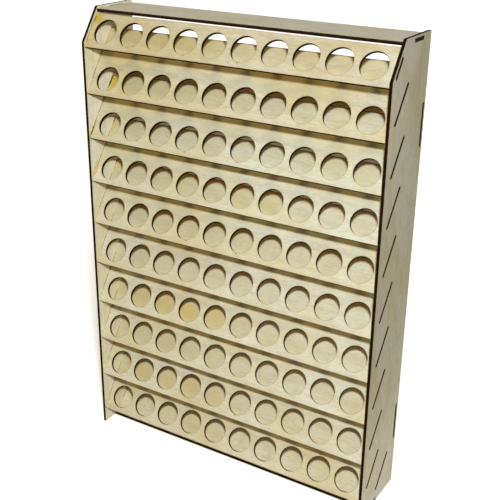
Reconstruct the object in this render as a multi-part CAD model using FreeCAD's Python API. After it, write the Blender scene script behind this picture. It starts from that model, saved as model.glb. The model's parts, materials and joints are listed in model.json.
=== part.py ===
import FreeCAD, Part
import math
import os

# A slatted bottle rack of laser-cut plywood. Two upright side panels carry ten leaning
# sheets, one per row of bottles, whose end tenons pass through slots in the panels.
# The lower half of a sheet holds a row of bottle holes. Its plain upper half stands
# behind the row above and stops that row's bottles.
# Millimetres, +Z up, front towards -Y. The origin is the middle of the footprint.

# Stock and fits
PLY = 3.0                    # sheet thickness of every piece
SLOT_CLEARANCE = 0.1         # play round a tenon in its slot, each side
SEAT_CLEARANCE = 0.1         # play between the back stop and the rail under it
PLATE_CLEARANCE = 1.0        # top sheet's upper corner below the top plate
BRACE_CLEARANCE = 2.6        # back stop's upper corner in front of the braces

# Bottle grid
BOTTLES_PER_ROW = 10
ROWS = 10
HOLE_DIAMETER = 26.0         # takes a dropper bottle of 25 mm
HOLE_PITCH = 32.0            # across a row
END_MARGIN = 19.2            # outermost hole centre to the side panel's inner face
LEAN = 35.4                  # sheets lean back from the vertical, degrees

# Side panels
SIDE_DEPTH = 78.5
SIDE_HEIGHT = 475.5
TOP_LIP = 2.65               # slanted cut at the top stands in front of the top sheet

# Leaning row sheets, measured up the sheet from its bottom edge
FIRST_EDGE_HEIGHT = 19.2     # bottom edge of the lowest row above the base
FRONT_SETBACK = 0.2          # bottom edges behind the panels' front edge
HOLE_HEIGHT = 18.3           # hole centres above the bottom edge
TOP_SHEET_LENGTH = 37.4      # the top row has no row above it to back up
TOP_TENON_MARGIN = 8.7       # plain edge above and below the tenon
ROW_TENON_MARGIN = 16.8

# Plain sheet that stops the bottles of the lowest row
LAST_POCKET = 27.2           # clear depth between the lowest row sheet and the back stop

# Top plate
PLATE_FRONT_INSET = 0.3      # behind the top sheet's upper corner
PLATE_TOP_INSET = 2.4        # below the panels' top edge
PLATE_BACK_INSET = 1.3       # in front of the panels' back edge
PLATE_TENON_LENGTH = 20.0
PLATE_TENON_FROM_BACK = 26.9 # tenon centre to the panels' back edge

# Bottom rail, flush with the base
RAIL_FRONT_SETBACK = 18.3
RAIL_DEPTH = 24.0
RAIL_TENON_LENGTH = 16.0

# Upright strips that tie the panels together at the back
BRACE_HEIGHT = 60.0
BRACE_TENON_LENGTH = 40.0
BRACE_BACK_INSET = 3.0
UPPER_BRACE_DROP = 83.3      # its middle below the panels' top edge
LOWER_BRACE_RISE = 76.8      # its middle above the base

# Worked out from the sizes above
INNER_WIDTH = (BOTTLES_PER_ROW - 1) * HOLE_PITCH + 2 * END_MARGIN
HALF_INNER = INNER_WIDTH / 2
HALF_OUTER = HALF_INNER + PLY
FRONT = -SIDE_DEPTH / 2
BACK = SIDE_DEPTH / 2
LEAN_SIN = math.sin(math.radians(LEAN))
LEAN_COS = math.cos(math.radians(LEAN))

# The top sheet ends just under the top plate, and the other rows share the height below it.
PLATE_UNDERSIDE = SIDE_HEIGHT - PLATE_TOP_INSET - PLY
TOP_EDGE_HEIGHT = PLATE_UNDERSIDE - PLATE_CLEARANCE - TOP_SHEET_LENGTH * LEAN_COS
ROW_RISE = (TOP_EDGE_HEIGHT - FIRST_EDGE_HEIGHT) / (ROWS - 1)

# The back stop ends just in front of the braces, and the row sheets are as long as it is.
STOP_SETBACK = PLY + LAST_POCKET
BRACE_FRONT = BACK - BRACE_BACK_INSET - PLY
SHEET_RUN = BRACE_FRONT - BRACE_CLEARANCE - FRONT - FRONT_SETBACK
ROW_SHEET_LENGTH = (SHEET_RUN - (STOP_SETBACK + PLY) * LEAN_COS) / LEAN_SIN


class Sheet:
    """One leaning sheet: where its bottom edge lies and where its tenons start and end.

    Places on a sheet are (up, behind): the distance up the front face from the bottom
    edge of its row, and the distance behind the front face."""

    def __init__(self, name, edge_height, end, tenon_margin, setback=0, start=0):
        self.name = name
        self.edge_height = edge_height
        self.setback = setback
        self.start = start
        self.end = end
        self.tenon = (tenon_margin, end - tenon_margin)

    def section_point(self, up, behind):
        """Y and Z of a place on the sheet's cross-section."""
        behind = behind + self.setback
        y = FRONT + FRONT_SETBACK + up * LEAN_SIN + behind * LEAN_COS
        z = self.edge_height + up * LEAN_COS - behind * LEAN_SIN
        return y, z

    def placement(self):
        """Stands a flat drawing up on the sheet's front face."""
        y, z = self.section_point(0, 0)
        turn = FreeCAD.Rotation(FreeCAD.Vector(1, 0, 0), 90 - LEAN)
        return FreeCAD.Placement(FreeCAD.Vector(0, y, z), turn)


def row_sheets():
    """The sheets with bottle holes, from the top down."""
    sheets = [Sheet("row_sheet_01", TOP_EDGE_HEIGHT, TOP_SHEET_LENGTH, TOP_TENON_MARGIN)]
    for row in range(2, ROWS + 1):
        name = "row_sheet_%02d" % row
        edge_height = FIRST_EDGE_HEIGHT + (ROWS - row) * ROW_RISE
        sheets.append(Sheet(name, edge_height, ROW_SHEET_LENGTH, ROW_TENON_MARGIN))
    return sheets


def back_stop():
    """The plain sheet behind the lowest row, cut short to stand on the bottom rail."""
    rail_top = PLY + SEAT_CLEARANCE
    lowest_corner = FIRST_EDGE_HEIGHT - (STOP_SETBACK + PLY) * LEAN_SIN
    start = (rail_top - lowest_corner) / LEAN_COS
    return Sheet("back_stop_sheet", FIRST_EDGE_HEIGHT, ROW_SHEET_LENGTH, ROW_TENON_MARGIN,
                 STOP_SETBACK, start)


def tenoned_outline(low, high, tenon_low, tenon_high):
    """Closed wire of a strip from low to high with one tenon at each end."""
    right_side = [
        (HALF_INNER, low),
        (HALF_INNER, tenon_low),
        (HALF_OUTER, tenon_low),
        (HALF_OUTER, tenon_high),
        (HALF_INNER, tenon_high),
        (HALF_INNER, high),
    ]
    left_side = [(-x, y) for x, y in reversed(right_side)]
    points = [FreeCAD.Vector(x, y, 0) for x, y in right_side + left_side]
    return Part.makePolygon(points + points[:1])


def hole_wires():
    """Circles of one row of bottle holes on the flat drawing."""
    wires = []
    for column in range(BOTTLES_PER_ROW):
        x = (column - (BOTTLES_PER_ROW - 1) / 2) * HOLE_PITCH
        centre = FreeCAD.Vector(x, HOLE_HEIGHT, 0)
        circle = Part.makeCircle(HOLE_DIAMETER / 2, centre)
        wires.append(Part.Wire([circle]))
    return wires


def cut_from_ply(outline, openings=()):
    """A flat piece, its drawn face at height 0 and its thickness below."""
    face = Part.Face([outline] + list(openings))
    face.validate()
    return face.extrude(FreeCAD.Vector(0, 0, -PLY))


def sheet_solid(sheet, openings=()):
    outline = tenoned_outline(sheet.start, sheet.end, *sheet.tenon)
    solid = cut_from_ply(outline, openings)
    solid.Placement = sheet.placement()
    return solid


def section_wire(points):
    """Closed wire through (y, z) points, in the plane of the left panel's outer face."""
    corners = [FreeCAD.Vector(-HALF_OUTER, y, z) for y, z in points]
    return Part.makePolygon(corners + corners[:1])


def sheet_slot(sheet):
    """Slot for a leaning sheet's tenon, with its clearance."""
    low = sheet.tenon[0] - SLOT_CLEARANCE
    high = sheet.tenon[1] + SLOT_CLEARANCE
    near = -SLOT_CLEARANCE
    far = PLY + SLOT_CLEARANCE
    corners = [(low, near), (high, near), (high, far), (low, far)]
    return section_wire([sheet.section_point(*corner) for corner in corners])


def square_slot(y_low, y_high, z_low, z_high):
    """Slot for a level or upright tenon, with its clearance."""
    y_low = y_low - SLOT_CLEARANCE
    y_high = y_high + SLOT_CLEARANCE
    z_low = z_low - SLOT_CLEARANCE
    z_high = z_high + SLOT_CLEARANCE
    return section_wire([(y_low, z_low), (y_high, z_low), (y_high, z_high), (y_low, z_high)])


def level_strip(front, back, tenon_centre, tenon_length, top):
    """A level piece between the panels, its top face at the given height."""
    tenon = (tenon_centre - tenon_length / 2, tenon_centre + tenon_length / 2)
    solid = cut_from_ply(tenoned_outline(front, back, *tenon))
    solid.translate(FreeCAD.Vector(0, 0, top))
    return solid, tenon


def top_plate():
    """The plate over the top row and the slot for its tenons."""
    top = PLATE_UNDERSIDE + PLY
    front = FRONT + FRONT_SETBACK + TOP_SHEET_LENGTH * LEAN_SIN + PLATE_FRONT_INSET
    back = BACK - PLATE_BACK_INSET
    centre = BACK - PLATE_TENON_FROM_BACK
    solid, tenon = level_strip(front, back, centre, PLATE_TENON_LENGTH, top)
    return solid, square_slot(*tenon, PLATE_UNDERSIDE, top)


def rail_span():
    front = FRONT + RAIL_FRONT_SETBACK
    return front, front + RAIL_DEPTH


def rail_tenon():
    centre = sum(rail_span()) / 2
    return centre - RAIL_TENON_LENGTH / 2, centre + RAIL_TENON_LENGTH / 2


def bottom_rail():
    centre = sum(rail_span()) / 2
    solid, _ = level_strip(*rail_span(), centre, RAIL_TENON_LENGTH, PLY)
    return solid


def brace(centre):
    """An upright strip at the back and the slot for its tenons."""
    low = centre - BRACE_HEIGHT / 2
    high = centre + BRACE_HEIGHT / 2
    tenon = (centre - BRACE_TENON_LENGTH / 2, centre + BRACE_TENON_LENGTH / 2)
    solid = cut_from_ply(tenoned_outline(low, high, *tenon))
    turn = FreeCAD.Rotation(FreeCAD.Vector(1, 0, 0), 90)
    solid.Placement = FreeCAD.Placement(FreeCAD.Vector(0, BRACE_FRONT, 0), turn)
    return solid, square_slot(BRACE_FRONT, BRACE_FRONT + PLY, *tenon)


def side_outline():
    """Panel profile: slanted top front corner, and a notch for the rail in the base."""
    notch_front = rail_tenon()[0] - SLOT_CLEARANCE
    notch_back = rail_tenon()[1] + SLOT_CLEARANCE
    notch_top = PLY + SLOT_CLEARANCE
    cut_start = TOP_EDGE_HEIGHT - (FRONT_SETBACK * LEAN_COS - TOP_LIP) / LEAN_SIN
    cut_depth = (SIDE_HEIGHT - cut_start) * LEAN_SIN / LEAN_COS
    return section_wire([
        (FRONT, 0),
        (notch_front, 0),
        (notch_front, notch_top),
        (notch_back, notch_top),
        (notch_back, 0),
        (BACK, 0),
        (BACK, SIDE_HEIGHT),
        (FRONT + cut_depth, SIDE_HEIGHT),
        (FRONT, cut_start),
    ])


def side_panel(slots):
    face = Part.Face([side_outline()] + slots)
    face.validate()
    return face.extrude(FreeCAD.Vector(PLY, 0, 0))


def build():
    """All the pieces, by node name."""
    pieces = {}
    slots = []
    for sheet in row_sheets():
        pieces[sheet.name] = sheet_solid(sheet, hole_wires())
        slots.append(sheet_slot(sheet))
    stop = back_stop()
    pieces[stop.name] = sheet_solid(stop)
    slots.append(sheet_slot(stop))
    pieces["top_plate"], slot = top_plate()
    slots.append(slot)
    pieces["upper_back_brace"], slot = brace(SIDE_HEIGHT - UPPER_BRACE_DROP)
    slots.append(slot)
    pieces["lower_back_brace"], slot = brace(LOWER_BRACE_RISE)
    slots.append(slot)
    pieces["bottom_rail"] = bottom_rail()
    left = side_panel(slots)
    right = left.copy()
    right.translate(FreeCAD.Vector(INNER_WIDTH + PLY, 0, 0))
    pieces["left_side_panel"] = left
    pieces["right_side_panel"] = right
    return pieces


os.makedirs("parts", exist_ok=True)
for name, shape in build().items():
    shape.exportStep("parts/%s.step" % name)
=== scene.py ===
"""Looks of a laser-cut plywood bottle rack: birch faces, browned cuts, and the stage.

Metres, +Z up, front towards -Y, origin in the middle of the footprint.
"""

import json
import math

import bpy
import numpy as np
from bpy.props import FloatProperty, FloatVectorProperty, PointerProperty
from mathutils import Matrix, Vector


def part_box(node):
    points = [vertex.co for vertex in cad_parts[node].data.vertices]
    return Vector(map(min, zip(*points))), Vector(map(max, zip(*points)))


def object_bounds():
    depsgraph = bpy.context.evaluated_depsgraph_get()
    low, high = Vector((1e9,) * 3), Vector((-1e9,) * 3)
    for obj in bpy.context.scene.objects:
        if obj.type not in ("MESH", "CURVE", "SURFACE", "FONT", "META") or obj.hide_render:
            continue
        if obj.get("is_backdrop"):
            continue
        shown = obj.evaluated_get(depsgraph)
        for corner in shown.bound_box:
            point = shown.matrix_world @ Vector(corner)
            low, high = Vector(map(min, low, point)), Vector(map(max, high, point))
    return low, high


bl_info = {
    "name": "Bottle Rack Looks",
    "version": (1, 0, 0),
    "blender": (4, 5, 0),
    "location": "3D View > Sidebar > Bottle Rack",
    "description": "Birch plywood with laser-browned cuts for a rack of bottle rows",
    "category": "Material",
}

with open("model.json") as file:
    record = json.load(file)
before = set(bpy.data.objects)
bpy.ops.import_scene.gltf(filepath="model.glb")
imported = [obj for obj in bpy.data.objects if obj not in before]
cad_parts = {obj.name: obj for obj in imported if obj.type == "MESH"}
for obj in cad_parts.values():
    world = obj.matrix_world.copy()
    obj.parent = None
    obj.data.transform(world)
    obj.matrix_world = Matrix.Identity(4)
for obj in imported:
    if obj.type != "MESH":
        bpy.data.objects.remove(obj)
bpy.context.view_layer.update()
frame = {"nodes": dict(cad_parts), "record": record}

# Node names
ROW_SHEETS = sorted(name for name in frame["nodes"] if name.startswith("row_sheet"))
BACK_STOP = "back_stop_sheet"
SIDE_PANELS = ("left_side_panel", "right_side_panel")
LEVEL_PIECES = ("top_plate", "bottom_rail")
BRACES = ("upper_back_brace", "lower_back_brace")


# Sizes, worked out from the frame

def extent(node):
    """Width, depth and height of a node's box."""
    low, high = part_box(node)
    return high - low


def hole_middle(row, column):
    """Middle of the box that the record keeps open through one bottle hole."""
    wanted = "bottle_hole_row_%02d_column_%02d" % (row, column)
    for opening in frame["record"]["physics"]["openings"]:
        if opening["name"] == wanted:
            low, high = opening["box_m"]
            return (Vector(low) + Vector(high)) / 2
    raise ValueError("the record has no opening named " + wanted)


# Directions
RIGHT = Vector((1, 0, 0))
BACK = Vector((0, 1, 0))
UP = Vector((0, 0, 1))

PANEL_LOW, PANEL_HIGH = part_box("right_side_panel")
PLY = PANEL_HIGH.x - PANEL_LOW.x
HALF_INNER = PANEL_LOW.x

# The second sheet is longer than the first by a stretch of bare sheet, which gives the lean.
LONGER = extent(ROW_SHEETS[1]) - extent(ROW_SHEETS[0])
LEAN = math.atan2(LONGER.y, LONGER.z)
UP_SHEET = Vector((0, math.sin(LEAN), math.cos(LEAN)))
INTO_SHEET = Vector((0, math.cos(LEAN), -math.sin(LEAN)))
ROW_LENGTH = (extent(ROW_SHEETS[1]).z - PLY * math.sin(LEAN)) / math.cos(LEAN)
TOP_LENGTH = (extent(ROW_SHEETS[0]).z - PLY * math.sin(LEAN)) / math.cos(LEAN)

# Bottle holes: how many stand side by side, and how far their centres lie up the sheet.
HOLE_RADIUS = 0.013
HOLE_COLUMNS = 10
HOLE_PITCH = (hole_middle(1, 5).x - hole_middle(1, 1).x) / (5 - 1)
HOLE_HEIGHT = 0.0183


def front_edge(node):
    """Middle of the bottom edge of a leaning sheet's front face."""
    low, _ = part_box(node)
    return Vector((0, low.y, low.z + PLY * math.sin(LEAN)))


# Sizes and colours that a user would change

def colour(name, description, default):
    return FloatVectorProperty(name=name, description=description, default=default,
                               subtype="COLOR", size=3, min=0, max=1)


def share(name, description, default, top=1.0):
    return FloatProperty(name=name, description=description, default=default,
                         subtype="FACTOR", min=0, max=top)


def length(name, description, default):
    return FloatProperty(name=name, description=description, default=default,
                         unit="LENGTH", min=0)


def power(name, description, default):
    return FloatProperty(name=name, description=description, default=default,
                         subtype="POWER", min=0)


class BirchSettings(bpy.types.PropertyGroup):
    """The bare veneer."""
    pale: colour("Pale Wood", "Veneer between its grain lines", (0.750, 0.690, 0.480))
    dark: colour("Grain Lines", "Veneer along its grain lines", (0.560, 0.463, 0.262))
    warm: colour("Warm Patches", "Broad patches of yellower veneer", (0.700, 0.585, 0.310))
    grain: share("Grain", "How strongly the grain shows", 0.85)
    patches: share("Patches", "How strongly the broad patches show", 0.9)
    relief: length("Relief", "Height of the grain", 0.00003)
    roughness: share("Roughness", "Roughness of the sanded face", 0.55)


class BurnSettings(bpy.types.PropertyGroup):
    """What the laser leaves on the wood, and the painted shade and painted light on the row sheets
    and on the faces turned into the rack.
    """
    char: colour("Char", "Cut faces where they are darkest", (0.010, 0.004, 0.001))
    brown: colour("Brown Cut", "Cut faces where they are palest", (0.125, 0.052, 0.004))
    # Also the colour of the painted shade on the faces turned into the rack and below the row
    # sheets' top edges.
    smoke: colour("Smoke", "Face of the wood right beside a cut", (0.46, 0.28, 0.09))
    resin: colour("Resin", "Stains of boiled-out resin", (0.62, 0.42, 0.06))
    # Painted shade and painted light: the warm tint for the shaded upper parts of the row sheets
    # and for their yellower left ends.
    painted_tint: colour("Amber", "Veneer yellowed by smoke", (0.50, 0.40, 0.15))
    smoke_width: length("Smoke Width", "How far smoke reaches from a cut", 0.00045)
    smoke_strength: share("Smoke Strength", "How dark the smoke is", 0.4)
    rim_width: length("Rim Width", "Width of the charred line along a cut", 0.0004)
    rim_strength: share("Rim Strength", "How dark that line is", 0.65)
    # Painted shade: the faces turned into the rack, which lie in its shade, are made browner.
    inner_painted_shade: share("Inner Smoke", "How brown the faces turned into the rack are", 0.8)
    # Painted shade: how warm the upper part of each row sheet is, where the sheet above shades it.
    top_painted_shade: share("Top Smoke", "How yellow the row sheets are towards their top edges", 0.32)
    # Painted light: the left ends of the row sheets yellower, the right ends whiter, as the lamp's
    # sheen falls.
    left_painted_light: share("Left Smoke", "How yellow the row sheets are towards their left ends", 0.1)
    # Partly smoke, partly painted shade: the brown strip below the row sheets' top edges lies deep
    # in the gap under the sheet above.
    edge_smoke_and_shade: share("Edge Smoke", "How brown the row sheets are right below their top edges",
                      0.75)
    roughness: share("Roughness", "Roughness of the cut faces", 0.95)


class StageSettings(bpy.types.PropertyGroup):
    """Floor, lamps and room light."""
    floor: colour("Floor", "Floor and backdrop", (0.92, 0.84, 0.64))
    floor_glow: share("Floor Glow", "White added to the floor near the rack, for the camera only",
                      0.6)
    # Painted shadow: the floor glows with this colour where the key lamp's shadow is worked out in
    # its material.
    floor_shade: colour("Floor Shade", "Light added to the floor in the rack's shadow",
                        (0.08, 0.062, 0.04))
    key_power: power("Key Power", "Power of the lamp over the camera", 13.1)
    key_tint: colour("Key Tint", "Colour of the lamp over the camera", (0.755, 0.84, 1.0))
    key_size: length("Key Size", "Width of the lamp over the camera", 0.07)
    overhead_power: power("Overhead Power", "Power of the upper lamp", 3.4)
    overhead_size: length("Overhead Size", "Width of the upper lamp", 0.25)
    overhead_tint: colour("Overhead Tint", "Colour of the upper lamp", (1.0, 0.79, 0.36))
    rear_power: power("Rear Power", "Power of the broad lamp behind", 18.0)
    inner_power: power("Inner Power", "Power of the lamp behind for the row sheets", 5.0)
    room_light: share("Room Light", "Strength of the light from all round", 0.06)
    room_tint: colour("Room Tint", "Colour of the light from all round", (1.0, 0.64, 0.30))


# Node trees

# The colour sockets of a Mix node share their names with others, so they go by number.
MIX_FACTOR, MIX_FIRST, MIX_SECOND, MIX_RESULT = 0, 6, 7, 2


class Graph:
    """Adds nodes to one tree and links them."""

    def __init__(self, tree):
        self.tree = tree

    def node(self, kind, **settings):
        node = self.tree.nodes.new(kind)
        for name, value in settings.items():
            setattr(node, name, value)
        return node

    def feed(self, socket, value):
        """Links a socket to the input, or gives it a constant."""
        if isinstance(value, bpy.types.NodeSocket):
            self.tree.links.new(value, socket)
        elif isinstance(value, (int, float)):
            socket.default_value = value
        elif len(value) == 3 and socket.type == "RGBA":
            socket.default_value = (*value, 1)
        else:
            socket.default_value = tuple(value)

    def feed_all(self, node, values):
        """Feeds a node's inputs in their order."""
        for socket, value in zip(node.inputs, values):
            self.feed(socket, value)

    def math(self, operation, *values, clamp=False):
        node = self.node("ShaderNodeMath", operation=operation, use_clamp=clamp)
        self.feed_all(node, values)
        return node.outputs[0]

    def vector_math(self, operation, *values, output="Vector"):
        node = self.node("ShaderNodeVectorMath", operation=operation)
        self.feed_all(node, values)
        return node.outputs[output]

    def vector(self, x, y, z):
        node = self.node("ShaderNodeCombineXYZ")
        self.feed_all(node, (x, y, z))
        return node.outputs[0]

    def mix(self, factor, first, second):
        node = self.node("ShaderNodeMix", data_type="RGBA")
        self.feed(node.inputs[MIX_FACTOR], factor)
        self.feed(node.inputs[MIX_FIRST], first)
        self.feed(node.inputs[MIX_SECOND], second)
        return node.outputs[MIX_RESULT]

    def noise(self, vector, scale, detail=2.0, roughness=0.5, distortion=0.0):
        node = self.node("ShaderNodeTexNoise")
        self.feed(node.inputs["Vector"], vector)
        self.feed(node.inputs["Scale"], scale)
        self.feed(node.inputs["Detail"], detail)
        self.feed(node.inputs["Roughness"], roughness)
        self.feed(node.inputs["Distortion"], distortion)
        return node.outputs["Fac"]

    def ramp(self, value, low, high, to_low=0.0, to_high=1.0):
        """Eases a value from one span into another, and holds it at the ends."""
        node = self.node("ShaderNodeMapRange", interpolation_type="SMOOTHSTEP")
        self.feed_all(node, (value, low, high, to_low, to_high))
        return node.outputs[0]

    def use(self, group, **values):
        """Places a node group. Its inputs are named by their words joined with underscores."""
        node = self.node("ShaderNodeGroup", node_tree=group)
        for name, value in values.items():
            self.feed(node.inputs[name.replace("_", " ").title()], value)
        return node


def new_group(name, inputs, outputs):
    """An empty node group with named sockets, as (group, graph, inputs, output node)."""
    group = bpy.data.node_groups.new(name, "ShaderNodeTree")
    kinds = {"float": "NodeSocketFloat", "vector": "NodeSocketVector", "colour": "NodeSocketColor"}
    for socket, kind in inputs.items():
        group.interface.new_socket(name=socket, in_out="INPUT", socket_type=kinds[kind])
    for socket, kind in outputs.items():
        group.interface.new_socket(name=socket, in_out="OUTPUT", socket_type=kinds[kind])
    graph = Graph(group)
    source = graph.node("NodeGroupInput")
    target = graph.node("NodeGroupOutput")
    return group, graph, source.outputs, target


def make_place_group():
    """Turns a place on the rack into one on a flat piece: along its grain, across it and
    down into its thickness, each the dot product of the place from the piece's corner
    with that direction."""
    group, graph, given, result = new_group(
        "Place On Piece",
        {"Position": "vector", "Corner": "vector", "Grain Way": "vector",
         "Cross Way": "vector", "Depth Way": "vector"},
        {"Along": "float", "Across": "float", "Depth": "float"})
    offset = graph.vector_math("SUBTRACT", given["Position"], given["Corner"])
    for output, way in (("Along", "Grain Way"), ("Across", "Cross Way"), ("Depth", "Depth Way")):
        reach = graph.vector_math("DOT_PRODUCT", offset, given[way], output="Value")
        graph.feed(result.inputs[output], reach)
    return group


# Layers of the veneer: scale of the noise along the grain and across it, its detail and
# roughness, and the span of it that is eased from 0 to 1.
STREAKS = (9.0, 260.0, 3.0, 0.6, 0.40, 0.72)
FIBRES = (170.0, 700.0, 2.0, 0.6, 0.34, 0.66)
PATCHES = (11.0, 22.0, 3.0, 0.55, 0.38, 0.66)
CLOUDS = (60.0, 90.0, 3.0, 0.6, 0.36, 0.66)

# The figure: its noise, how many radians of a wave the noise makes, and where on that wave
# a line starts.
FIGURE_ALONG = 2.6
FIGURE_ACROSS = 11.0
FIGURE_DETAIL = 1.5
FIGURE_ROUGHNESS = 0.45
FIGURE_DISTORTION = 0.35
FIGURE_LINES = 95.0
FIGURE_LINE_START = 0.35

# How much each layer darkens the wood, and how much the fibres add to its relief.
FIGURE_SHARE = 0.20
STREAK_SHARE = 0.26
FIBRE_SHARE = 0.44
CLOUD_SHARE = 0.24
FIBRE_RELIEF = 0.6

# How far the noise moves for each metre into the wood, and for each step of the seed.
DEPTH_STEP = 900.0
SEED_STEP = 7.31


def make_birch_group():
    """Rotary-cut birch veneer, from noise stretched along the grain.

    Figure: thin lines where the sine of a broad noise is high. Streaks: soft bands along
    the grain. Fibres: short fine marks. Clouds: soft spots. Patches: a broad noise that
    warms the colour. The dark colour goes on by the weighted sum of the first four. The
    seed and the depth move the noise, so every sheet and both of its faces differ."""
    group, graph, given, result = new_group(
        "Birch Veneer",
        {"Along": "float", "Across": "float", "Depth": "float", "Seed": "float",
         "Pale": "colour", "Dark": "colour", "Warm": "colour",
         "Grain": "float", "Patches": "float"},
        {"Colour": "colour", "Height": "float"})
    seed = graph.math("ADD", graph.math("MULTIPLY", given["Depth"], DEPTH_STEP),
                      graph.math("MULTIPLY", given["Seed"], SEED_STEP))

    def stretched(along_scale, across_scale):
        along = graph.math("MULTIPLY", given["Along"], along_scale)
        across = graph.math("MULTIPLY", given["Across"], across_scale)
        return graph.vector(along, across, seed)

    def layer(along_scale, across_scale, detail, roughness, low, high):
        noise = graph.noise(stretched(along_scale, across_scale), 1.0, detail, roughness)
        return graph.ramp(noise, low, high)

    contour = graph.noise(stretched(FIGURE_ALONG, FIGURE_ACROSS), 1.0, FIGURE_DETAIL,
                          FIGURE_ROUGHNESS, FIGURE_DISTORTION)
    wave = graph.math("SINE", graph.math("MULTIPLY", contour, FIGURE_LINES))
    figure = graph.ramp(wave, FIGURE_LINE_START, 1.0)
    streaks = layer(*STREAKS)
    fibres = layer(*FIBRES)
    patches = layer(*PATCHES)
    clouds = layer(*CLOUDS)

    lines = graph.math("MULTIPLY_ADD", figure, FIGURE_SHARE,
                       graph.math("MULTIPLY", streaks, STREAK_SHARE))
    lines = graph.math("MULTIPLY_ADD", fibres, FIBRE_SHARE, lines)
    lines = graph.math("MULTIPLY_ADD", clouds, CLOUD_SHARE, lines)
    lines = graph.math("MULTIPLY", lines, given["Grain"], clamp=True)
    warmth = graph.math("MULTIPLY", patches, given["Patches"])
    bare = graph.mix(warmth, given["Pale"], given["Warm"])
    graph.feed(result.inputs["Colour"], graph.mix(lines, bare, given["Dark"]))
    low_places = graph.math("MULTIPLY_ADD", fibres, FIBRE_RELIEF, streaks)
    graph.feed(result.inputs["Height"], graph.math("SUBTRACT", 1.0, low_places))
    return group


# Layers of the ply, as shares of its thickness out from the middle.
CORE_END = 0.13
OUTER_START = 0.20
GLUE_PLACE = 0.17
GLUE_WIDTH = 0.035
GLUE_DARKNESS = 0.5

# Noise in the char: fine specks and broader soot, each with its scale and its span.
SPECK_SCALE = 2400.0
SPECK_SPAN = (0.35, 0.75)
SOOT_SCALE = 220.0
SOOT_SPAN = (0.25, 0.7)


def make_burnt_cut_group():
    """Laser-cut edge of three-layer ply: paler outer layers over a charred core, with a
    dark glue line between them. The brown shows by the product of the outer layers, the
    specks and the soot, less the glue line."""
    group, graph, given, result = new_group(
        "Burnt Cut",
        {"Position": "vector", "Depth": "float", "Thickness": "float",
         "Char": "colour", "Brown": "colour"},
        {"Colour": "colour", "Height": "float"})
    share_in = graph.math("DIVIDE", given["Depth"], given["Thickness"])
    from_middle = graph.math("ABSOLUTE", graph.math("SUBTRACT", share_in, 0.5))
    outer = graph.ramp(from_middle, CORE_END, OUTER_START)
    from_glue = graph.math("ABSOLUTE", graph.math("SUBTRACT", from_middle, GLUE_PLACE))
    glue_line = graph.ramp(from_glue, 0.0, GLUE_WIDTH, 1.0, 0.0)
    specks = graph.noise(given["Position"], SPECK_SCALE, roughness=0.6)
    soot = graph.noise(given["Position"], SOOT_SCALE)
    pale = graph.math("MULTIPLY", outer, graph.ramp(specks, *SPECK_SPAN))
    pale = graph.math("MULTIPLY", pale, graph.ramp(soot, *SOOT_SPAN))
    glue_line = graph.math("MULTIPLY", glue_line, GLUE_DARKNESS)
    pale = graph.math("SUBTRACT", pale, glue_line, clamp=True)
    graph.feed(result.inputs["Colour"], graph.mix(pale, given["Char"], given["Brown"]))
    graph.feed(result.inputs["Height"], specks)
    return group


# The noise that breaks up the smoke, the span of it that counts and how much smoke is left
# at its low end, and the share of the charred line that is solid.
SMOKE_SCALE = 140.0
SMOKE_SPAN = (0.25, 0.75)
SMOKE_LEAST = 0.35
RIM_SOLID = 0.3


def make_smoke_group():
    """Smoke beside a cut: it fades by half over each width, and noise breaks it up. Rim
    is the narrow charred line at the cut itself."""
    group, graph, given, result = new_group(
        "Smoke Beside Cut",
        {"Position": "vector", "Distance": "float", "Width": "float", "Strength": "float",
         "Rim Width": "float", "Rim Strength": "float"},
        {"Mask": "float", "Rim": "float"})
    away = graph.math("MAXIMUM", given["Distance"], 0.0)
    widths = graph.math("DIVIDE", away, given["Width"])
    fade = graph.math("POWER", 0.5, widths)
    noise = graph.noise(given["Position"], SMOKE_SCALE, detail=3.0, roughness=0.6)
    broken = graph.ramp(noise, *SMOKE_SPAN, SMOKE_LEAST, 1.0)
    mask = graph.math("MULTIPLY", fade, broken)
    mask = graph.math("MULTIPLY", mask, given["Strength"], clamp=True)
    graph.feed(result.inputs["Mask"], mask)
    rim = graph.ramp(graph.math("DIVIDE", away, given["Rim Width"]), RIM_SOLID, 1.0, 1.0, 0.0)
    rim = graph.math("MULTIPLY", rim, graph.math("MULTIPLY", broken, given["Rim Strength"]))
    graph.feed(result.inputs["Rim"], rim)
    return group


def make_hole_group():
    """Distance from the nearest bottle hole's rim: the place's distance from the centre
    of the hole in its column, less the hole's radius."""
    group, graph, given, result = new_group(
        "Bottle Hole Distance",
        {"Along": "float", "Across": "float", "Pitch": "float", "Columns": "float",
         "Height": "float", "Radius": "float"},
        {"Distance": "float"})
    column = graph.math("FLOOR", graph.math("DIVIDE", given["Along"], given["Pitch"]))
    last = graph.math("SUBTRACT", graph.math("DIVIDE", given["Columns"], 2.0), 1.0)
    column = graph.math("MINIMUM", column, last)
    column = graph.math("MAXIMUM", column, graph.math("SUBTRACT", -1.0, last))
    centre = graph.math("MULTIPLY", graph.math("ADD", column, 0.5), given["Pitch"])
    sideways = graph.math("SUBTRACT", given["Along"], centre)
    upwards = graph.math("SUBTRACT", given["Across"], given["Height"])
    square = graph.math("MULTIPLY_ADD", sideways, sideways,
                        graph.math("MULTIPLY", upwards, upwards))
    distance = graph.math("SUBTRACT", graph.math("SQRT", square), given["Radius"])
    graph.feed(result.inputs["Distance"], distance)
    return group


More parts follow.
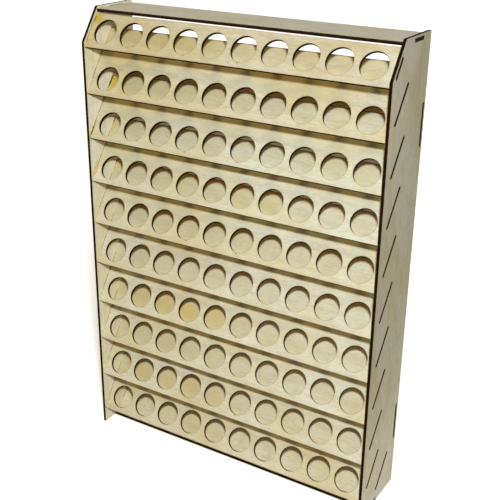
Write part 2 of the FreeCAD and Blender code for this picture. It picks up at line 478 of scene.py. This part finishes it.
def make_slot_group():
    """Distance from a slot's rim: the place is turned into the slot's length and width,
    and the distance is the root of the squares of what lies beyond each half size."""
    group, graph, given, result = new_group(
        "Slot Distance",
        {"Along": "float", "Across": "float", "Centre Along": "float", "Centre Across": "float",
         "Turn Sine": "float", "Turn Cosine": "float", "Half Length": "float",
         "Half Width": "float"},
        {"Distance": "float"})
    along = graph.math("SUBTRACT", given["Along"], given["Centre Along"])
    across = graph.math("SUBTRACT", given["Across"], given["Centre Across"])
    lengthwise = graph.math("MULTIPLY_ADD", along, given["Turn Cosine"],
                            graph.math("MULTIPLY", across, given["Turn Sine"]))
    widthwise = graph.math("SUBTRACT", graph.math("MULTIPLY", across, given["Turn Cosine"]),
                           graph.math("MULTIPLY", along, given["Turn Sine"]))

    def beyond(value, half):
        over = graph.math("SUBTRACT", graph.math("ABSOLUTE", value), half)
        return graph.math("MAXIMUM", over, 0.0)

    over_length = beyond(lengthwise, given["Half Length"])
    over_width = beyond(widthwise, given["Half Width"])
    square = graph.math("MULTIPLY_ADD", over_length, over_length,
                        graph.math("MULTIPLY", over_width, over_width))
    graph.feed(result.inputs["Distance"], graph.math("SQRT", square))
    return group


# A stain's wavy rim, and where it fades out, in the stain's own half sizes with the wave
# added.
WAVE_SCALE = 500.0
WAVE_SIZE = 0.9
STAIN_FULL = 0.95
STAIN_END = 1.95


def make_stain_group():
    """One stain: a soft spot whose strength falls with the distance from its centre, as a
    share of its own half sizes, plus a noise that makes its rim wavy."""
    group, graph, given, result = new_group(
        "Stain",
        {"Along": "float", "Across": "float", "Centre Along": "float", "Centre Across": "float",
         "Long": "float", "Wide": "float", "Strength": "float"},
        {"Mask": "float"})
    long_part = graph.math("SUBTRACT", given["Along"], given["Centre Along"])
    wide_part = graph.math("SUBTRACT", given["Across"], given["Centre Across"])
    wave = graph.noise(graph.vector(given["Along"], given["Across"], given["Long"]), WAVE_SCALE)
    long_part = graph.math("DIVIDE", long_part, given["Long"])
    wide_part = graph.math("DIVIDE", wide_part, given["Wide"])
    square = graph.math("MULTIPLY_ADD", long_part, long_part,
                        graph.math("MULTIPLY", wide_part, wide_part))
    reach = graph.math("MULTIPLY_ADD", wave, WAVE_SIZE, graph.math("SQRT", square))
    spot = graph.ramp(reach, STAIN_FULL, STAIN_END, 1.0, 0.0)
    graph.feed(result.inputs["Mask"], graph.math("MULTIPLY", spot, given["Strength"]))
    return group


class Groups:
    """The shader node groups, each built once, when it is first asked for."""
    makers = {
        "place": make_place_group,
        "birch": make_birch_group,
        "cut": make_burnt_cut_group,
        "smoke": make_smoke_group,
        "hole": make_hole_group,
        "slot": make_slot_group,
        "stain": make_stain_group,
    }
    made = {}

    @classmethod
    def get(cls, key):
        if key not in cls.made:
            cls.made[key] = cls.makers[key]()
        return cls.made[key]


# Materials

MM_PER_METRE = 1000

# How far the char reaches past a slot's own rim, and past a tenon's root.
SLOT_CHAR = 0.0004
TENON_ROOT = 0.0002

# How squarely a surface faces out of the piece, from a cut edge to a face.
CUT_FACING = 0.4
FACE_FACING = 0.6

# Between which shares of the thickness the painted shade on an inner face begins.
INNER_SPAN = (0.4, 0.6)

# Painted shade on a row sheet, a warm tint where the sheet above shades it, in metres up the
# sheet, and how much stronger than its setting it is at the left and the right end.
TOP_SHADE_START = 0.031
TOP_SHADE_FULL = 0.043
TOP_SHADE_LEFT = 1.2
TOP_SHADE_RIGHT = 0.55

# The strip below a row sheet's top edge: brown, then charred, in metres up the sheet. The
# brown is partly smoke from the cut and partly painted shade of the gap under the sheet above.
EDGE_SMOKE_AND_SHADE_START = 0.066
EDGE_SMOKE_AND_SHADE_FULL = 0.072
EDGE_CHAR_START = 0.0725
EDGE_CHAR_FULL = 0.0733
EDGE_CHAR = 0.8

# Painted light towards a row sheet's left end, a yellower tint that leaves the right end
# whiter as the lamp's sheen makes it, in metres along it from its middle.
LEFT_LIGHT_START = 0.05
LEFT_LIGHT_FULL = -0.15

# Painted light on a side panel: where its veneer turns paler, in metres up from its foot and
# back from its front edge, how much of that its upper front has, and what its colour is
# multiplied by. At the foot it stands for the white floor's bounce.
PALE_FOOT_FULL = 0.04
PALE_FOOT_END = 0.17
PALE_TOP_START = 0.24
PALE_TOP_FULL = 0.42
PALE_TOP = 0.65
PALE_FRONT_END = 0.07
PAINTED_LIGHT_GAIN = (1.33, 1.36, 1.57)


class Ply:
    """How one flat piece lies: a corner, its grain direction, the direction across the
    grain, and the direction into its thickness. The tone multiplies its veneer colours."""

    def __init__(self, name, corner, grain, cross, depth, seed, tone=(1, 1, 1), gloss=0.04):
        self.name = name
        self.corner = corner
        self.grain = grain
        self.cross = cross
        self.depth = depth
        self.seed = seed
        self.tone = tone
        self.gloss = gloss

    def toned(self, tint):
        """A veneer colour, each part times this sheet's own tone."""
        return [part * own for part, own in zip(tint, self.tone)]


def ply_material(ply, cross_length, grain_ends=None, hole_height=None, edge_smoke_and_shade=0.0,
                 inner=None, slots=(), marks=(), paler=0.0):
    """Birch on the faces of a flat piece and char on its cut edges.

    cross_length is how far across the piece its far edge lies. grain_ends is how far the
    piece's ends lie from its middle, where smoke comes out of the joints. hole_height is
    for a row sheet: it puts smoke round the bottle holes, a warm painted shade towards the
    top, where the sheet above shades it, and a yellower painted light towards the left.
    edge_smoke_and_shade is how brown the strip right below its top edge is: partly smoke, partly
    painted shade of the gap under the sheet above.
    inner is the face turned into the rack, "front" or "back", which is made browner as painted
    shade.
    slots is a list of (centre, direction, half length) of the slots through it.
    marks is a list of (kind, along, across, long, wide, strength), in millimetres.
    paler is for a side panel: how much whiter its foot and its upper front are, painted
    light that at the foot stands for the white floor's bounce."""
    birch = bpy.context.scene.rack_birch
    burn = bpy.context.scene.rack_burn
    material = bpy.data.materials.new(ply.name)
    material.use_nodes = True
    graph = Graph(material.node_tree)
    shader = material.node_tree.nodes["Principled BSDF"]

    coordinates = graph.node("ShaderNodeTexCoord")
    position = coordinates.outputs["Object"]
    place = graph.use(Groups.get("place"), position=position, corner=ply.corner,
                      grain_way=ply.grain, cross_way=ply.cross, depth_way=ply.depth).outputs
    veneer = graph.use(Groups.get("birch"), along=place["Along"], across=place["Across"],
                       depth=place["Depth"], seed=ply.seed, pale=ply.toned(birch.pale),
                       dark=ply.toned(birch.dark), warm=ply.toned(birch.warm),
                       grain=birch.grain, patches=birch.patches).outputs
    face = veneer["Colour"]
    # Painted light: the foot paler and bluer, as the white floor's bounce makes it, and the upper
    # front paler by the same gain.
    if paler:
        foot = graph.ramp(place["Along"], PALE_FOOT_FULL, PALE_FOOT_END, paler, 0.0)
        front = graph.ramp(place["Across"], 0.0, PALE_FRONT_END, paler, 0.0)
        high = graph.ramp(place["Along"], PALE_TOP_START, PALE_TOP_FULL, 0.0, PALE_TOP)
        share_painted_light = graph.math("MAXIMUM", foot, graph.math("MULTIPLY", front, high))
        face = graph.mix(share_painted_light, face, graph.vector_math("MULTIPLY", face, PAINTED_LIGHT_GAIN))
    nearest = graph.math("MINIMUM", place["Across"],
                         graph.math("SUBTRACT", cross_length, place["Across"]))
    if grain_ends:
        from_middle = graph.math("ABSOLUTE", place["Along"])
        nearest = graph.math("MINIMUM", nearest,
                             graph.math("SUBTRACT", grain_ends, from_middle))
    for centre, way, half_length in slots:
        offset = centre - ply.corner
        rim = graph.use(Groups.get("slot"), along=place["Along"], across=place["Across"],
                        centre_along=offset.dot(ply.grain), centre_across=offset.dot(ply.cross),
                        turn_sine=way.dot(ply.cross), turn_cosine=way.dot(ply.grain),
                        half_length=half_length + SLOT_CHAR,
                        half_width=PLY / 2 + SLOT_CHAR).outputs["Distance"]
        nearest = graph.math("MINIMUM", nearest, rim)
    if hole_height:
        rim = graph.use(Groups.get("hole"), along=place["Along"], across=place["Across"],
                        pitch=HOLE_PITCH, columns=HOLE_COLUMNS, height=hole_height,
                        radius=HOLE_RADIUS).outputs["Distance"]
        nearest = graph.math("MINIMUM", nearest, rim)
        # Painted shade: warmer towards the top, where the sheet above shades this one.
        painted_tint = graph.ramp(place["Across"], TOP_SHADE_START, TOP_SHADE_FULL, 0.0, burn.top_painted_shade)
        sideways = graph.ramp(place["Along"], -HALF_INNER, HALF_INNER,
                              TOP_SHADE_LEFT, TOP_SHADE_RIGHT)
        # Painted light: yellower towards the left end, whiter towards the right, as the lamp's
        # sheen falls.
        leftwards = graph.ramp(place["Along"], LEFT_LIGHT_FULL, LEFT_LIGHT_START,
                               burn.left_painted_light, 0.0)
        painted_tint = graph.math("ADD", graph.math("MULTIPLY", painted_tint, sideways), leftwards)
        face = graph.mix(painted_tint, face, burn.painted_tint)
        # Partly smoke, partly painted shade: the strip below the top edge lies deep in the gap
        # under the sheet above.
        edge = graph.ramp(place["Across"], EDGE_SMOKE_AND_SHADE_START, EDGE_SMOKE_AND_SHADE_FULL, 0.0, edge_smoke_and_shade)
        face = graph.mix(edge, face, burn.smoke)
        edge = graph.ramp(place["Across"], EDGE_CHAR_START, EDGE_CHAR_FULL, 0.0, EDGE_CHAR)
        face = graph.mix(edge, face, burn.char)
    # Painted shade: the face turned into the rack is browner.
    if inner:
        front, back = (burn.inner_painted_shade, 0.0) if inner == "front" else (0.0, burn.inner_painted_shade)
        start, end = (share_in * PLY for share_in in INNER_SPAN)
        inside = graph.ramp(place["Depth"], start, end, front, back)
        face = graph.mix(inside, face, burn.smoke)
    smoke = graph.use(Groups.get("smoke"), position=position, distance=nearest,
                      width=burn.smoke_width, strength=burn.smoke_strength,
                      rim_width=burn.rim_width, rim_strength=burn.rim_strength).outputs
    face = graph.mix(smoke["Mask"], face, burn.smoke)
    for kind, along, across, long, wide, strength in marks:
        spot = graph.use(Groups.get("stain"), along=place["Along"], across=place["Across"],
                         centre_along=along / MM_PER_METRE, centre_across=across / MM_PER_METRE,
                         long=long / MM_PER_METRE, wide=wide / MM_PER_METRE,
                         strength=strength).outputs["Mask"]
        face = graph.mix(spot, face, getattr(burn, kind))
    face = graph.mix(smoke["Rim"], face, burn.char)

    cut = graph.use(Groups.get("cut"), position=position, depth=place["Depth"], thickness=PLY,
                    char=burn.char, brown=burn.brown).outputs
    cut_colour = cut["Colour"]
    if grain_ends:
        on_tenon = graph.math("GREATER_THAN", from_middle, grain_ends + TENON_ROOT)
        cut_colour = graph.mix(on_tenon, cut_colour, burn.char)
    facing = graph.vector_math("DOT_PRODUCT", coordinates.outputs["Normal"], ply.depth,
                               output="Value")
    is_cut = graph.ramp(graph.math("ABSOLUTE", facing), CUT_FACING, FACE_FACING, 1.0, 0.0)
    graph.feed(shader.inputs["Base Color"], graph.mix(is_cut, face, cut_colour))
    graph.feed(shader.inputs["Roughness"],
               graph.ramp(is_cut, 0.0, 1.0, birch.roughness, burn.roughness))
    graph.feed(shader.inputs["Specular IOR Level"], ply.gloss)
    relief = graph.math("MULTIPLY", veneer["Height"], graph.math("SUBTRACT", 1.0, is_cut))
    relief = graph.math("MULTIPLY_ADD", cut["Height"], is_cut, relief)
    bump = graph.node("ShaderNodeBump")
    graph.feed(bump.inputs["Strength"], 1.0)
    graph.feed(bump.inputs["Distance"], birch.relief)
    graph.feed(bump.inputs["Height"], relief)
    graph.feed(shader.inputs["Normal"], bump.outputs[0])
    return material


# Pieces

def dress(node, material):
    """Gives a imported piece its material."""
    mesh = frame["nodes"][node].data
    mesh.materials.clear()
    mesh.materials.append(material)


# How the veneer of each row sheet, from the top one down, differs from the common colours.
ROW_TONES = (
    (0.98, 0.97, 0.94), (1.01, 1.01, 0.99), (1.02, 1.07, 1.11), (1.04, 1.10, 1.17),
    (1.02, 1.06, 1.10), (0.99, 1.00, 1.03), (1.01, 1.04, 1.08), (1.00, 1.03, 1.06),
    (0.95, 0.97, 0.99), (0.95, 0.93, 0.91),
)

# How much of the brown below its top edge, partly smoke and partly painted shade, each row
# sheet has.
ROW_EDGE_SMOKE_AND_SHADE = (0.0, 0.2, 0.2, 0.2, 1.0, 1.0, 1.0, 1.0, 1.0, 1.0)

# Where the laser started a hole, on every second row, as (along, across) in mm, and the
# resin and the char there, as (long, wide, strength).
HOLE_STARTS = ((-105.0, 6.9), (-45.5, 4.6), (14.5, 4.6))
START_RESIN = (1.4, 1.2, 0.5)
START_CHAR = (0.5, 0.5, 0.8)

# Other marks on the row sheets by row, as (kind, along, across, long, wide, strength) in
# mm: resin that boiled out of the joints, and stains of the veneer itself.
ROW_MARKS = {
    1: [("resin", -158.0, 20.0, 12.0, 20.0, 0.25), ("resin", -159.5, 32.0, 5.5, 5.5, 0.95),
        ("char", -162.6, 31.5, 1.3, 3.0, 0.6), ("resin", -162.5, 5.5, 2.5, 3.5, 0.6),
        ("char", -163.0, 6.5, 0.6, 2.4, 0.5), ("resin", -112.0, 35.5, 4.0, 2.5, 0.35),
        ("resin", -20.0, 34.0, 30.0, 3.5, 0.15), ("char", 5.1, 3.3, 0.5, 0.5, 0.6)],
    2: [("resin", -70.0, 66.0, 75.0, 10.0, 0.25)],
    3: [("resin", -50.0, 63.0, 70.0, 10.0, 0.12), ("resin", -159.0, 65.0, 5.5, 9.0, 0.95),
        ("char", -162.4, 66.0, 1.1, 7.5, 0.95), ("char", -159.5, 71.0, 2.6, 1.0, 0.5),
        ("char", -159.0, 67.0, 2.0, 0.5, 0.4), ("resin", -162.8, 9.0, 1.2, 9.0, 0.9),
        ("char", -163.0, 9.0, 0.9, 7.0, 0.8)],
    4: [("resin", -161.5, 64.5, 2.6, 7.5, 0.65), ("char", -162.8, 69.5, 0.9, 3.2, 0.8),
        ("resin", -162.5, 12.0, 1.5, 9.0, 0.4)],
    5: [("resin", -162.4, 66.0, 1.4, 6.0, 0.45), ("char", -162.9, 70.0, 0.8, 1.6, 0.8),
        ("resin", 0.0, 60.0, 13.0, 9.0, 0.30), ("resin", 33.0, 60.0, 13.0, 9.0, 0.32)],
    7: [("resin", -102.8, 29.1, 1.3, 1.8, 0.8)],
    8: [("resin", -130.0, 57.0, 12.0, 10.0, 0.26), ("resin", -97.0, 57.0, 13.0, 10.0, 0.40),
        ("resin", -64.0, 57.0, 14.0, 10.0, 0.44), ("resin", -31.0, 57.0, 13.0, 10.0, 0.34)],
    10: [("resin", -129.0, 55.0, 11.0, 9.0, 0.14), ("resin", -96.0, 55.0, 12.0, 9.0, 0.22),
         ("resin", -63.0, 55.0, 13.0, 9.0, 0.36), ("resin", -30.0, 55.0, 11.0, 9.0, 0.16)],
}

# The plain sheet behind the lowest row.
BACK_STOP_SEED = 20
BACK_STOP_TONE = (0.93, 0.90, 0.83)


def row_marks(row):
    """A row's own marks, and those of the hole starts on the odd rows."""
    marks = list(ROW_MARKS.get(row, []))
    if row % 2:
        for along, across in HOLE_STARTS:
            marks.append(("resin", along, across, *START_RESIN))
            marks.append(("char", along, across, *START_CHAR))
    return marks


class RACK_OT_finish_row_sheets(bpy.types.Operator):
    """Finish the leaning sheets that hold the bottles, and the plain one behind the lowest"""
    bl_idname = "rack.finish_row_sheets"
    bl_label = "Finish Row Sheets"

    def execute(self, context):
        for number, node in enumerate(ROW_SHEETS):
            sheet_length = TOP_LENGTH if number == 0 else ROW_LENGTH
            ply = Ply(node + "_birch", front_edge(node), RIGHT, UP_SHEET, INTO_SHEET,
                      1 + number, ROW_TONES[number])
            edge_smoke_and_shade = ROW_EDGE_SMOKE_AND_SHADE[number] * context.scene.rack_burn.edge_smoke_and_shade
            dress(node, ply_material(ply, sheet_length, HALF_INNER, HOLE_HEIGHT, edge_smoke_and_shade,
                                     "back", marks=row_marks(1 + number)))
        ply = Ply("back_stop_birch", front_edge(BACK_STOP), RIGHT, UP_SHEET, INTO_SHEET,
                  BACK_STOP_SEED, BACK_STOP_TONE)
        dress(BACK_STOP, ply_material(ply, ROW_LENGTH, HALF_INNER))
        return {"FINISHED"}


# The two side panels, left and right: their tones, and how much paler they are in places.
# Both are painted light and shade: the left panel is lightened, the right one darkened, and
# the right one's foot and upper front are paler.
PANEL_SEED = 30
PANEL_LIGHT_AND_SHADE_TONES = ((1.18, 1.21, 1.29), (0.825, 0.85, 0.89))
PANEL_PAINTED_LIGHT = (0.0, 1.0)

# Marks on each panel, as on the rows: along is the height here, and across is the distance
# from the front edge.
PANEL_MARKS = (
    [("resin", 349.0, 3.0, 3.0, 1.6, 0.8), ("resin", 353.5, 6.2, 3.0, 1.6, 0.8),
     ("char", 350.0, 3.6, 2.6, 0.8, 0.6), ("char", 354.5, 6.8, 2.6, 0.8, 0.6),
     ("resin", 306.0, 3.0, 3.2, 2.2, 0.6), ("resin", 311.0, 6.4, 3.5, 2.4, 0.65),
     ("resin", 316.0, 10.0, 3.2, 2.2, 0.5)],
    [("char", 406.4, 11.4, 0.8, 0.8, 1.0), ("char", 249.6, 32.6, 0.8, 0.8, 0.9)],
)

# Slots for the row sheets stop this far from the sheet's bottom and top edges.
ROW_TENON_MARGIN = 0.0168
TOP_TENON_MARGIN = 0.0087

# The top plate's tenon, measured from the panel's back edge, and the tenons' lengths.
PLATE_TENON_FROM_BACK = 0.0269
PLATE_TENON_LENGTH = 0.020
RAIL_TENON_LENGTH = 0.016
BRACE_TENON_LENGTH = 0.040


def panel_slots():
    """Every slot through a side panel, as (centre, direction, half length)."""
    half_thick = INTO_SHEET * PLY / 2
    slots = []
    for number, node in enumerate(ROW_SHEETS):
        sheet_length = TOP_LENGTH if number == 0 else ROW_LENGTH
        margin = TOP_TENON_MARGIN if number == 0 else ROW_TENON_MARGIN
        centre = front_edge(node) + UP_SHEET * sheet_length / 2 + half_thick
        slots.append((centre, UP_SHEET, sheet_length / 2 - margin))
    _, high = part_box(BACK_STOP)
    top_corner = Vector((0, high.y - PLY * math.cos(LEAN), high.z))
    centre = top_corner - UP_SHEET * ROW_LENGTH / 2 + half_thick
    slots.append((centre, UP_SHEET, ROW_LENGTH / 2 - ROW_TENON_MARGIN))
    for node, tenon_length in zip(LEVEL_PIECES, (PLATE_TENON_LENGTH, RAIL_TENON_LENGTH)):
        low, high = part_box(node)
        centre = (low + high) / 2
        if node == "top_plate":
            centre.y = PANEL_HIGH.y - PLATE_TENON_FROM_BACK
        slots.append((centre, BACK, tenon_length / 2))
    for node in BRACES:
        low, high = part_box(node)
        slots.append(((low + high) / 2, UP, BRACE_TENON_LENGTH / 2))
    return slots


class RACK_OT_finish_side_panels(bpy.types.Operator):
    """Finish the two upright side panels"""
    bl_idname = "rack.finish_side_panels"
    bl_label = "Finish Side Panels"

    def execute(self, context):
        for number, node in enumerate(SIDE_PANELS):
            low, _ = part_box(node)
            ply = Ply(node + "_birch", low, UP, BACK, RIGHT, PANEL_SEED + number,
                      PANEL_LIGHT_AND_SHADE_TONES[number])
            dress(node, ply_material(ply, PANEL_HIGH.y - PANEL_LOW.y, slots=panel_slots(),
                                     marks=PANEL_MARKS[number], paler=PANEL_PAINTED_LIGHT[number]))
        return {"FINISHED"}


# The top plate and the bottom rail have a paler and glossier veneer than the braces. The
# paler, bluer tone is a painted sheen for the white backdrop's reflection at grazing light.
LEVEL_SEED = 40
LEVEL_SHEEN_TONE = (1.10, 1.18, 1.38)
LEVEL_GLOSS = 0.12
BRACE_SEED = 50


class RACK_OT_finish_ties(bpy.types.Operator):
    """Finish the top plate, the bottom rail and the two back braces"""
    bl_idname = "rack.finish_ties"
    bl_label = "Finish Plate, Rail and Braces"

    def execute(self, context):
        for number, node in enumerate(LEVEL_PIECES):
            low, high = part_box(node)
            corner = Vector((0, low.y, low.z))
            ply = Ply(node + "_birch", corner, RIGHT, BACK, UP, LEVEL_SEED + number,
                      LEVEL_SHEEN_TONE, LEVEL_GLOSS)
            dress(node, ply_material(ply, high.y - low.y, HALF_INNER))
        for number, node in enumerate(BRACES):
            low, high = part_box(node)
            corner = Vector((0, low.y, low.z))
            ply = Ply(node + "_birch", corner, RIGHT, UP, BACK, BRACE_SEED + number)
            dress(node, ply_material(ply, high.z - low.z, HALF_INNER, inner="front"))
        return {"FINISHED"}


# Stage

# The camera: place in metres, turn, and lens and sensor in millimetres.
CAMERA_PLACE = Vector((0.452164, -0.736038, 0.608131))
CAMERA_TURN = (math.radians(66.48436), math.radians(-0.42721), math.radians(32.14323))
CAMERA_LENS = 65.878
CAMERA_SENSOR = 36.0
CAMERA_SHIFT = (0.026354, 0.019869)
CAMERA_NEAREST = 0.01

# The lamps: where each stands and where it points.
KEY_PLACE = Vector((0.4475, -0.6802, 0.7463))
KEY_AIM = Vector((0.35, 0.07, 0.50))
OVERHEAD_PLACE = Vector((-0.46, -0.70, 1.40))
OVERHEAD_AIM = Vector((0.0, -0.02, 0.27))
REAR_PLACE = Vector((-1.0, 1.3, 0.27))
REAR_AIM = Vector((0.0, 0.0, 0.25))
REAR_SIZE = 0.5
WHITE = (1.0, 1.0, 1.0)

# The floor: its own half width, half the width of its painted shadow's soft edge, how rough
# it is, and how far from the origin its glow begins to grow and is full.
FLOOR_HALF_WIDTH = 9.0
SHADOW_EDGE = 0.012
FLOOR_ROUGHNESS = 0.9
GLOW_START = 0.2
GLOW_FULL = 1.0


def floor_mesh():
    """A square on the ground: each corner is (u, v, 0) times the half width, u and v +-1."""
    u, v = np.meshgrid((-1.0, 1.0), (-1.0, 1.0))
    corners = np.stack((u.ravel(), v.ravel(), np.zeros(4)), axis=1) * FLOOR_HALF_WIDTH
    mesh = bpy.data.meshes.new("floor")
    mesh.from_pydata(corners.tolist(), [], [(0, 1, 3, 2)])
    return mesh


def key_shadow(graph, position):
    """Where the rack keeps the key lamp off the floor, as a painted shadow in the floor's glow.

    The line from a floor point to the lamp crosses the rack's middle plane, y = 0, at the
    share y / (y - lamp y) of its length. The point lies in shadow when that crossing is
    inside the rack's width and height."""
    parts = graph.node("ShaderNodeSeparateXYZ")
    graph.feed(parts.inputs[0], position)
    x, y, _ = parts.outputs
    crossing = graph.math("DIVIDE", y, graph.math("SUBTRACT", y, KEY_PLACE.y))
    to_lamp = graph.math("SUBTRACT", KEY_PLACE.x, x)
    sideways = graph.math("MULTIPLY_ADD", crossing, to_lamp, x)
    height = graph.math("MULTIPLY", crossing, KEY_PLACE.z)
    half_width, _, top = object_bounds()[1]
    beside = graph.ramp(graph.math("ABSOLUTE", sideways),
                        half_width - SHADOW_EDGE, half_width + SHADOW_EDGE, 1.0, 0.0)
    below = graph.ramp(height, top - SHADOW_EDGE, top + SHADOW_EDGE, 1.0, 0.0)
    behind = graph.math("GREATER_THAN", y, 0.0)
    return graph.math("MULTIPLY", behind, graph.math("MULTIPLY", beside, below))


def floor_material(settings):
    """Pale floor that looks white to the camera and still takes the rack's shadow. Its
    glow grows with the distance from the rack, as the lamps' light thins out. In the key
    lamp's shadow, worked out in the material, the glow gives way to the floor shade colour:
    a painted shadow with a painted warm light in it."""
    material = bpy.data.materials.new("floor_white")
    material.use_nodes = True
    graph = Graph(material.node_tree)
    shader = material.node_tree.nodes["Principled BSDF"]
    graph.feed(shader.inputs["Base Color"], settings.floor)
    graph.feed(shader.inputs["Roughness"], FLOOR_ROUGHNESS)
    graph.feed(shader.inputs["Specular IOR Level"], 0.0)
    position = graph.node("ShaderNodeTexCoord").outputs["Object"]
    away = graph.vector_math("LENGTH", position, output="Value")
    glow = graph.ramp(away, GLOW_START, GLOW_FULL, settings.floor_glow, 1.0)
    shadow = key_shadow(graph, position)
    white = graph.vector(glow, glow, glow)
    graph.feed(shader.inputs["Emission Color"], graph.mix(shadow, white, settings.floor_shade))
    graph.feed(shader.inputs["Emission Strength"], seen_or_mirrored(graph))
    return material


def seen_or_mirrored(graph):
    """1 for what the camera sees, straight or as a reflection, and 0 for lighting."""
    path = graph.node("ShaderNodeLightPath").outputs
    return graph.math("MAXIMUM", path["Is Camera Ray"], path["Is Glossy Ray"])


def add_lamp(name, place, aim, size, energy, tint, even=False, spared=()):
    """A round lamp. An even one lights near and far alike, as a far stronger lamp further
    off would. Spared objects take no light from it."""
    lamp = bpy.data.lights.new(name, "AREA")
    lamp.shape = "DISK"
    lamp.size = size
    lamp.energy = energy
    lamp.color = tint
    if even:
        lamp.use_nodes = True
        graph = Graph(lamp.node_tree)
        falloff = graph.node("ShaderNodeLightFalloff")
        graph.feed(falloff.inputs["Strength"], 1.0)
        emission = lamp.node_tree.nodes["Emission"]
        graph.feed(emission.inputs["Strength"], falloff.outputs["Constant"])
    holder = bpy.data.objects.new(name, lamp)
    holder.location = place
    if spared:
        lit = bpy.data.collections.new(name + "_lights")
        for number, thing in enumerate(spared):
            lit.objects.link(thing)
            lit.collection_objects[number].light_linking.link_state = "EXCLUDE"
        holder.light_linking.receiver_collection = lit
    holder.rotation_euler = (aim - place).to_track_quat("-Z", "Y").to_euler()
    holder.visible_camera = False
    bpy.context.scene.collection.objects.link(holder)


def room_world(settings):
    """White to the camera and in reflections, and an even light of the set strength for
    the rest."""
    world = bpy.data.worlds.new("room")
    world.use_nodes = True
    bpy.context.scene.world = world
    graph = Graph(world.node_tree)
    light = world.node_tree.nodes["Background"]
    seen = seen_or_mirrored(graph)
    graph.feed(light.inputs["Color"], graph.mix(seen, settings.room_tint, WHITE))
    graph.feed(light.inputs["Strength"], graph.ramp(seen, 0.0, 1.0, settings.room_light, 1.0))


class RACK_OT_set_stage(bpy.types.Operator):
    """Put down the floor and set the lamps, the room light and the camera"""
    bl_idname = "rack.set_stage"
    bl_label = "Set Stage"

    def execute(self, context):
        settings = context.scene.rack_stage
        floor = bpy.data.objects.new("floor", floor_mesh())
        floor.data.materials.append(floor_material(settings))
        context.scene.collection.objects.link(floor)
        floor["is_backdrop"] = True
        add_lamp("key_lamp", KEY_PLACE, KEY_AIM, settings.key_size, settings.key_power,
                 settings.key_tint, even=True)
        add_lamp("overhead_lamp", OVERHEAD_PLACE, OVERHEAD_AIM, settings.overhead_size,
                 settings.overhead_power, settings.overhead_tint)
        sheets = [frame["nodes"][node] for node in (*ROW_SHEETS, BACK_STOP)]
        others = [frame["nodes"][node] for node in (*SIDE_PANELS, *LEVEL_PIECES, *BRACES)]
        add_lamp("rear_lamp", REAR_PLACE, REAR_AIM, REAR_SIZE, settings.rear_power, WHITE,
                 spared=[floor, *sheets])
        add_lamp("inner_lamp", REAR_PLACE, REAR_AIM, REAR_SIZE, settings.inner_power, WHITE,
                 spared=[floor, *others])
        room_world(settings)
        camera = bpy.data.cameras.new("camera")
        camera.sensor_width = CAMERA_SENSOR
        camera.lens = CAMERA_LENS
        camera.shift_x, camera.shift_y = CAMERA_SHIFT
        camera.clip_start = CAMERA_NEAREST
        holder = bpy.data.objects.new("camera", camera)
        holder.location = CAMERA_PLACE
        holder.rotation_euler = CAMERA_TURN
        context.scene.collection.objects.link(holder)
        context.scene.camera = holder
        context.scene.view_settings.view_transform = "Standard"
        return {"FINISHED"}


class RACK_PT_looks(bpy.types.Panel):
    """Lists the finishing steps"""
    bl_idname = "RACK_PT_looks"
    bl_label = "Bottle Rack"
    bl_space_type = "VIEW_3D"
    bl_region_type = "UI"
    bl_category = "Bottle Rack"

    def draw(self, context):
        for operator in OPERATORS:
            self.layout.operator(operator.bl_idname)
        for settings in (context.scene.rack_birch, context.scene.rack_burn,
                         context.scene.rack_stage):
            box = self.layout.box()
            for name in settings.__annotations__:
                box.prop(settings, name)


SETTINGS = {"rack_birch": BirchSettings, "rack_burn": BurnSettings, "rack_stage": StageSettings}
OPERATORS = (
    RACK_OT_finish_row_sheets,
    RACK_OT_finish_side_panels,
    RACK_OT_finish_ties,
    RACK_OT_set_stage,
)


def register():
    for cls in (*SETTINGS.values(), *OPERATORS, RACK_PT_looks):
        bpy.utils.register_class(cls)
    for name, cls in SETTINGS.items():
        setattr(bpy.types.Scene, name, PointerProperty(type=cls))


def unregister():
    for name in SETTINGS:
        delattr(bpy.types.Scene, name)
    for cls in (RACK_PT_looks, *reversed(OPERATORS), *SETTINGS.values()):
        bpy.utils.unregister_class(cls)


def main():
    register()
    bpy.ops.rack.finish_row_sheets()
    bpy.ops.rack.finish_side_panels()
    bpy.ops.rack.finish_ties()
    bpy.ops.rack.set_stage()


if __name__ == "__main__":
    main()
